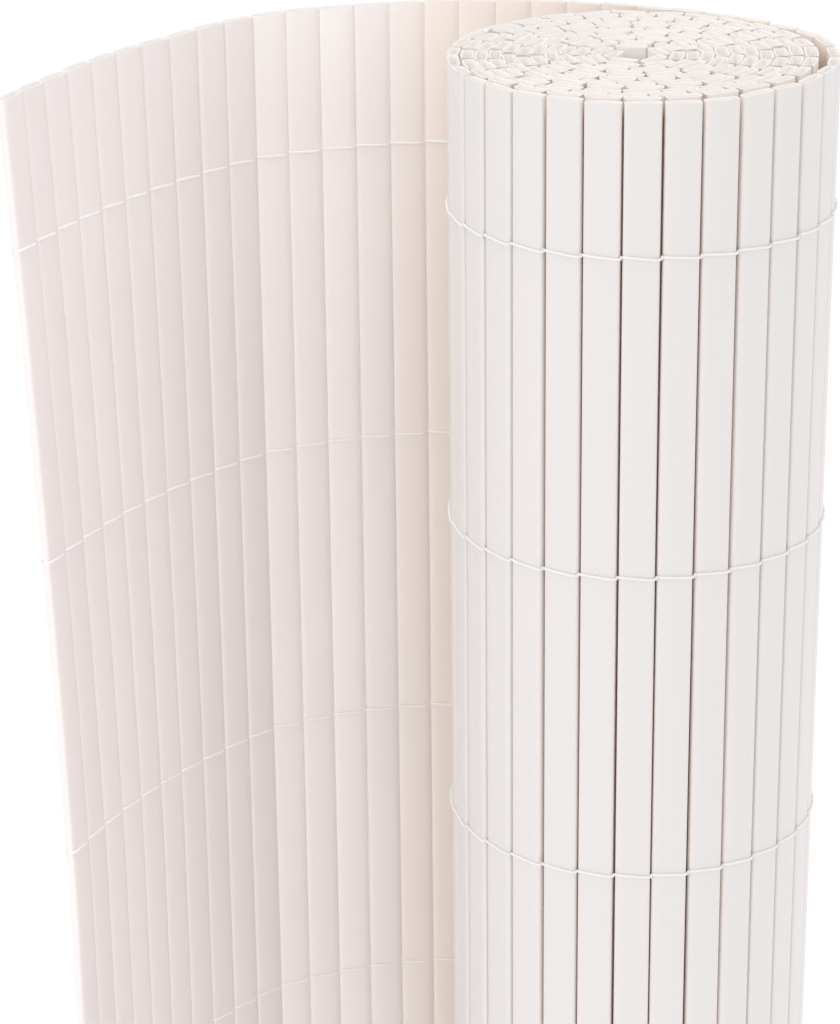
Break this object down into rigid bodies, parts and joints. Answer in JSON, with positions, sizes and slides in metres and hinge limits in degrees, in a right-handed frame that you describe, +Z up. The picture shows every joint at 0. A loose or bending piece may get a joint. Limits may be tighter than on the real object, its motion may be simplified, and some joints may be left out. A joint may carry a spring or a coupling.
{
  "type": "pvc garden fence",
  "caption": "Privacy fence of upright hollow plastic slats sewn side by side, rolled up on end with its outer end swung open.",
  "frame": {"origin": "on the ground under the middle of the whole outline, roll and wing together", "axes": "+Z up along the slats; +X from the wing's free end towards the roll; the wing's free end comes forward to -Y"},
  "size_m": [0.2762, 0.1492, 0.9],
  "materials": {
    "slat_plastic": "white, satin, faintly grained along the slat",
    "thread": "white twisted nylon thread"
  },
  "bodies": {
    "root": {"inside_thread_1": "thread", "inside_thread_2": "thread", "inside_thread_3": "thread", "inside_thread_4": "thread", "inside_thread_5": "thread", "inside_thread_6": "thread", "inside_thread_7": "thread", "inside_thread_8": "thread", "outside_thread_1": "thread", "outside_thread_2": "thread", "outside_thread_3": "thread", "outside_thread_4": "thread", "outside_thread_5": "thread", "outside_thread_6": "thread", "outside_thread_7": "thread", "outside_thread_8": "thread", "turn_01_slats": "slat_plastic", "turn_02_slats": "slat_plastic", "turn_03_slats": "slat_plastic", "turn_04_slats": "slat_plastic", "turn_05_slats": "slat_plastic", "turn_06_slats": "slat_plastic", "turn_07_slats": "slat_plastic", "turn_08_slats": "slat_plastic", "turn_09_slats": "slat_plastic", "turn_10_slats": "slat_plastic", "turn_11_slats": "slat_plastic", "turn_12_slats": "slat_plastic", "wing_slat_01": "slat_plastic", "wing_slat_02": "slat_plastic", "wing_slat_03": "slat_plastic", "wing_slat_04": "slat_plastic", "wing_slat_05": "slat_plastic", "wing_slat_06": "slat_plastic", "wing_slat_07": "slat_plastic", "wing_slat_08": "slat_plastic", "wing_slat_09": "slat_plastic", "wing_slat_10": "slat_plastic", "wing_slat_11": "slat_plastic", "wing_slat_12": "slat_plastic", "wing_slat_13": "slat_plastic", "wing_slat_14": "slat_plastic", "wing_slat_15": "slat_plastic", "wing_slat_16": "slat_plastic", "wing_slat_17": "slat_plastic", "wing_slat_18": "slat_plastic", "wing_slat_19": "slat_plastic", "wing_slat_20": "slat_plastic", "wing_slat_21": "slat_plastic", "wing_slat_22": "slat_plastic", "wing_slat_23": "slat_plastic", "wing_slat_24": "slat_plastic"}
  },
  "joints": []
}
